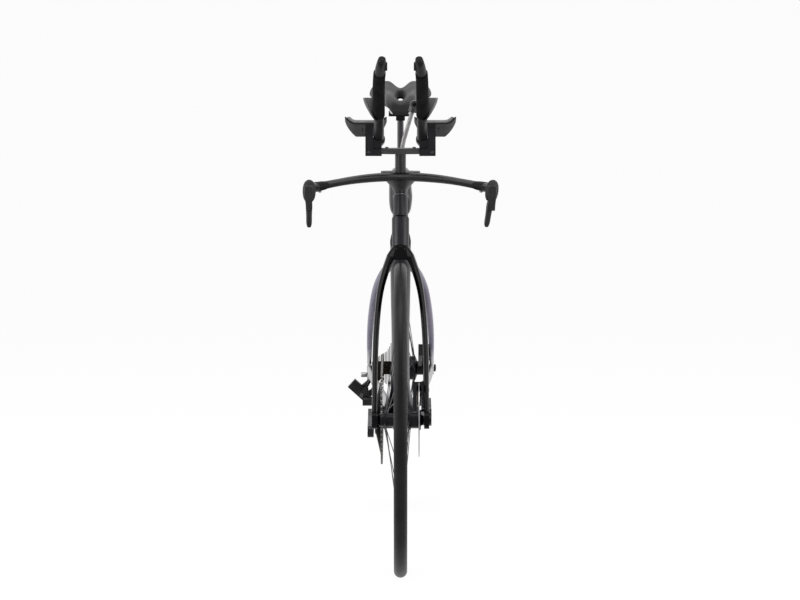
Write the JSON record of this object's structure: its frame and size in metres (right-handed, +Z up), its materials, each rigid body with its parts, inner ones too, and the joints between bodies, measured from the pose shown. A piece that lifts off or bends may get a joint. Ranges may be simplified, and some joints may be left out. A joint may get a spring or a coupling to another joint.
{
  "type": "time trial bike",
  "caption": "Time trial bike with a foil-tubed frame, deep rims, disc brakes, a base bar with arm rests and raised extensions, a chain drive with a rear derailleur, and a split-nose saddle.",
  "frame": {"origin": "on the ground, midway between the axles, in the bike's middle plane", "axes": "+Z up, -Y the way the bike faces, +X its left side"},
  "size_m": [0.4227, 1.68, 1.1284],
  "materials": {
    "frame_paint": "matte",
    "stay_paint": "satin",
    "fork_paint": "gloss",
    "cockpit_carbon": "satin",
    "black_alloy": "anodised",
    "silver_alloy": "satin",
    "tyre": "matte",
    "rim_carbon": "satin",
    "spoke_steel": "satin",
    "rotor_steel": "brushed",
    "chain_steel": "bright",
    "cassette_steel": "satin",
    "black_plastic": "matte",
    "hood_rubber": "matte",
    "pad_foam": "matte",
    "saddle_skin": "matte",
    "brake_lining": "matte",
    "hose_plastic": "satin"
  },
  "bodies": {
    "frame": {"main_frame": "frame_paint", "seatstays": "stay_paint", "chainstays": "stay_paint", "reservoir_cover": "frame_paint", "headset_bearings": "silver_alloy", "bottom_bracket_bearings": "silver_alloy", "seatpost_wedge": "black_alloy", "rear_thru_axle": "black_alloy", "rear_caliper": "black_alloy", "rear_brake_pads": "brake_lining", "chain": "chain_steel", "drinking_hose": "hose_plastic", "hose_mouthpiece": "black_plastic", "derailleur_mount": "black_alloy", "derailleur_battery": "black_plastic"},
    "fork": {"fork": "fork_paint", "headset_spacer": "cockpit_carbon", "base_bar": "cockpit_carbon", "riser_post": "black_alloy", "extension_bridge": "black_alloy", "arm_brackets": "black_alloy", "arm_cups": "cockpit_carbon", "arm_pads": "pad_foam", "extensions": "cockpit_carbon", "grips": "hood_rubber", "lever_hoods": "hood_rubber", "front_caliper": "black_alloy", "front_brake_pads": "brake_lining", "front_thru_axle": "black_alloy"},
    "brake_lever_right": {"brake_lever_right": "black_plastic"},
    "brake_lever_left": {"brake_lever_left": "black_plastic"},
    "shift_button_right": {"shift_button_right": "black_plastic"},
    "shift_button_left": {"shift_button_left": "black_plastic"},
    "front_wheel": {"front_tyre": "tyre", "front_rim": "rim_carbon", "front_spokes": "spoke_steel", "front_hub": "black_alloy", "front_rotor": "rotor_steel"},
    "rear_wheel": {"rear_tyre": "tyre", "rear_rim": "rim_carbon", "rear_spokes": "spoke_steel", "rear_hub": "black_alloy", "rear_rotor": "rotor_steel"},
    "cassette": {"cassette": "cassette_steel", "freehub_body": "silver_alloy"},
    "crankset": {"crank_arm_right": "black_alloy", "crank_arm_left": "black_alloy", "crank_spindle": "silver_alloy", "chainring": "black_alloy"},
    "derailleur_outer_link": {"derailleur_outer_link": "black_alloy"},
    "derailleur_inner_link": {"derailleur_inner_link": "black_alloy"},
    "derailleur_knuckle": {"derailleur_knuckle": "black_alloy"},
    "derailleur_cage": {"derailleur_cage": "black_alloy"},
    "guide_pulley": {"guide_pulley": "black_plastic"},
    "tension_pulley": {"tension_pulley": "black_plastic"},
    "saddle": {"seatpost": "frame_paint", "saddle_clamp": "black_alloy", "saddle_rails": "silver_alloy", "saddle_shell": "black_plastic", "saddle_pad": "saddle_skin"}
  },
  "joints": [
    {"name": "steering", "type": "hinge", "parent": "frame", "child": "fork", "pos_m": [0, -0.31913, 0.764], "axis": [0, 0.3007, 0.9537], "range_deg": [-35, 35]},
    {"name": "front_wheel_spin", "type": "hinge", "parent": "fork", "child": "front_wheel", "pos_m": [0, -0.5, 0.34], "axis": [1, 0, 0], "continuous": true},
    {"name": "rear_wheel_spin", "type": "hinge", "parent": "frame", "child": "rear_wheel", "pos_m": [0, 0.5, 0.34], "axis": [1, 0, 0], "continuous": true},
    {"name": "crank_spin", "type": "hinge", "parent": "frame", "child": "crankset", "pos_m": [0, 0.1, 0.27], "axis": [1, 0, 0], "continuous": true, "deforming": ["chain"]},
    {"name": "cassette_spin", "type": "hinge", "parent": "frame", "child": "cassette", "pos_m": [0, 0.5, 0.34], "axis": [1, 0, 0], "continuous": true, "deforming": ["chain"]},
    {"name": "brake_lever_right_pull", "type": "hinge", "parent": "fork", "child": "brake_lever_right", "pos_m": [-0.197, -0.48072, 0.82275], "axis": [1, 0, 0], "range_deg": [0, 22], "stiffness_Nm_per_rad": 0.6},
    {"name": "brake_lever_left_pull", "type": "hinge", "parent": "fork", "child": "brake_lever_left", "pos_m": [0.19524, -0.48072, 0.82289], "axis": [0.9877, 0, -0.1564], "range_deg": [0, 22], "stiffness_Nm_per_rad": 0.6},
    {"name": "shift_button_right_press", "type": "slide", "parent": "fork", "child": "shift_button_right", "axis": [-1, 0, 0], "range_m": [0, 0.0016], "stiffness_N_per_m": 800},
    {"name": "shift_button_left_press", "type": "slide", "parent": "fork", "child": "shift_button_left", "axis": [1, 0, 0], "range_m": [0, 0.0016], "stiffness_N_per_m": 800},
    {"name": "derailleur_outer_swing", "type": "hinge", "parent": "frame", "child": "derailleur_outer_link", "pos_m": [-0.0691, 0.5362, 0.31288], "axis": [0.265, -0.848, 0.4589], "range_deg": [-35, 31], "deforming": ["chain"]},
    {"name": "derailleur_inner_swing", "type": "hinge", "parent": "frame", "child": "derailleur_inner_link", "pos_m": [-0.05698, 0.5362, 0.30588], "axis": [0.265, -0.848, 0.4589], "range_deg": [-35, 31], "deforming": ["chain"]},
    {"name": "derailleur_knuckle_swing", "type": "hinge", "parent": "derailleur_outer_link", "child": "derailleur_knuckle", "pos_m": [-0.08606, 0.515, 0.2835], "axis": [0.265, -0.848, 0.4589], "range_deg": [-31, 35], "deforming": ["chain"]},
    {"name": "cage_swing", "type": "hinge", "parent": "derailleur_knuckle", "child": "derailleur_cage", "pos_m": [-0.0434, 0.503, 0.258], "axis": [1, 0, 0], "range_deg": [-45, 25], "stiffness_Nm_per_rad": 0.8, "deforming": ["chain"]},
    {"name": "guide_pulley_spin", "type": "hinge", "parent": "derailleur_cage", "child": "guide_pulley", "pos_m": [-0.0434, 0.503, 0.258], "axis": [1, 0, 0], "continuous": true, "deforming": ["chain"]},
    {"name": "tension_pulley_spin", "type": "hinge", "parent": "derailleur_cage", "child": "tension_pulley", "pos_m": [-0.0434, 0.47619, 0.20883], "axis": [1, 0, 0], "continuous": true, "deforming": ["chain"]},
    {"name": "seatpost_slide", "type": "slide", "parent": "frame", "child": "saddle", "axis": [0, 0.225, 0.9744], "range_m": [-0.05, 0.045]}
  ],
  "couplings": [
    {"joint": "cassette_spin", "follows": "crank_spin", "ratio": 3.4667},
    {"joint": "guide_pulley_spin", "follows": "crank_spin", "ratio": -4.3333},
    {"joint": "tension_pulley_spin", "follows": "crank_spin", "ratio": 4.3333},
    {"joint": "derailleur_inner_swing", "follows": "derailleur_outer_swing", "ratio": 1},
    {"joint": "derailleur_knuckle_swing", "follows": "derailleur_outer_swing", "ratio": -1}
  ]
}
